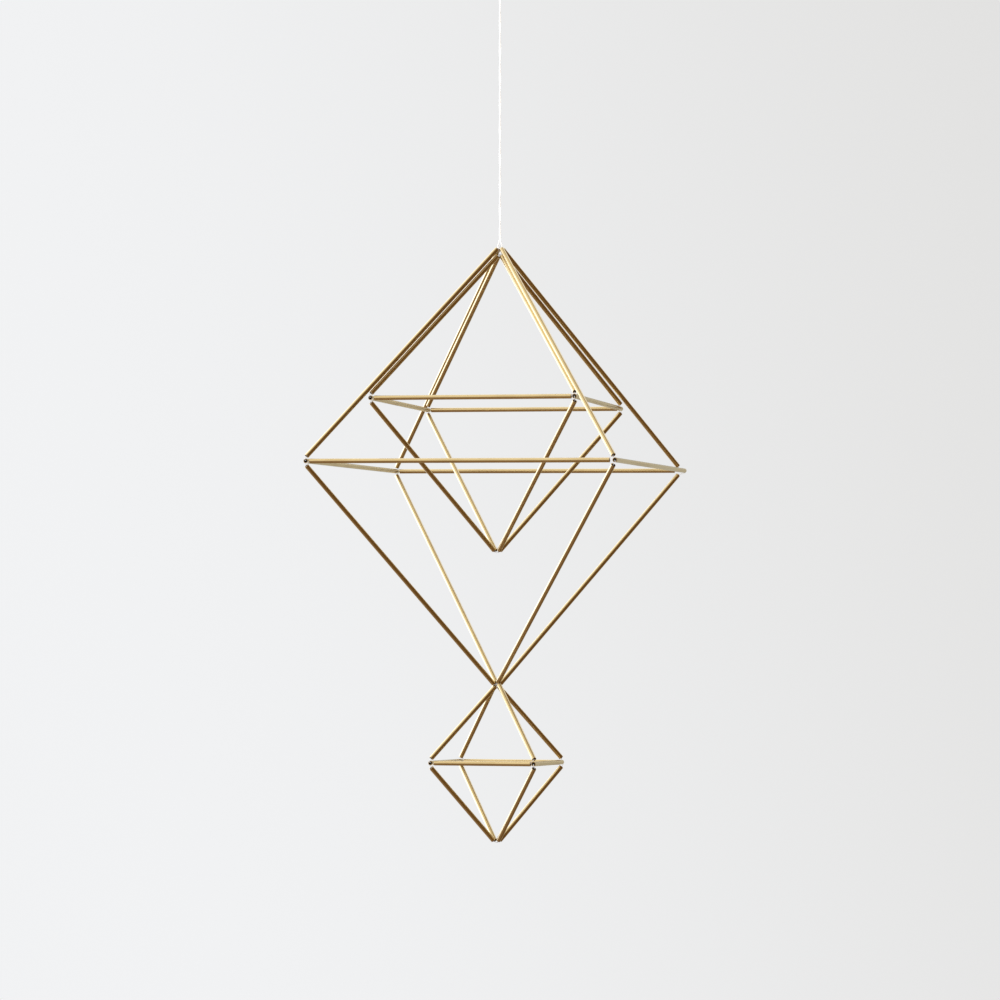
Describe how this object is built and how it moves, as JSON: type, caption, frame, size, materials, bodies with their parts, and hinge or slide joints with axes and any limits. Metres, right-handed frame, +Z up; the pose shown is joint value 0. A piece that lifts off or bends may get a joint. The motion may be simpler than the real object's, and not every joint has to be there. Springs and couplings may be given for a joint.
{
  "type": "hanging himmeli mobile",
  "caption": "Hanging geometric mobile of straight brass tubes threaded into nested octahedra, with a small pendant octahedron below, on a white cotton string with a loop.",
  "frame": {"origin": "inside top of the string's hanging loop, where a hook carries the mobile", "axes": "+Z up along the string, +X along the large octahedron's front ring tube, -Y its front; the octahedra hang within two degrees of upright"},
  "size_m": [0.1616, 0.1539, 0.4631],
  "materials": {
    "brass": "bare drawn tube, satin with a soft sheen and slight warm tarnish",
    "thread": "fine white thread",
    "cotton": "white twisted two-ply cotton string"
  },
  "bodies": {
    "root": {"outer_ring_front": "brass", "outer_ring_right": "brass", "outer_ring_back": "brass", "outer_ring_left": "brass", "outer_top_front_left": "brass", "outer_top_front_right": "brass", "outer_top_back_right": "brass", "outer_top_back_left": "brass", "outer_bottom_front_left": "brass", "outer_bottom_front_right": "brass", "outer_bottom_back_right": "brass", "outer_bottom_back_left": "brass", "inner_ring_front": "brass", "inner_ring_right": "brass", "inner_ring_back": "brass", "inner_ring_left": "brass", "inner_top_front_left": "brass", "inner_top_front_right": "brass", "inner_top_back_right": "brass", "inner_top_back_left": "brass", "inner_bottom_front_left": "brass", "inner_bottom_front_right": "brass", "inner_bottom_back_right": "brass", "inner_bottom_back_left": "brass", "pendant_ring_front": "brass", "pendant_ring_right": "brass", "pendant_ring_back": "brass", "pendant_ring_left": "brass", "pendant_top_front_left": "brass", "pendant_top_front_right": "brass", "pendant_top_back_right": "brass", "pendant_top_back_left": "brass", "pendant_bottom_front_left": "brass", "pendant_bottom_front_right": "brass", "pendant_bottom_back_right": "brass", "pendant_bottom_back_left": "brass", "outer_thread": "thread", "inner_thread": "thread", "pendant_thread": "thread", "nest_tie": "thread", "string_eye": "cotton", "hanging_string": "cotton", "hanging_knot": "cotton", "hanging_loop": "cotton"}
  },
  "joints": []
}
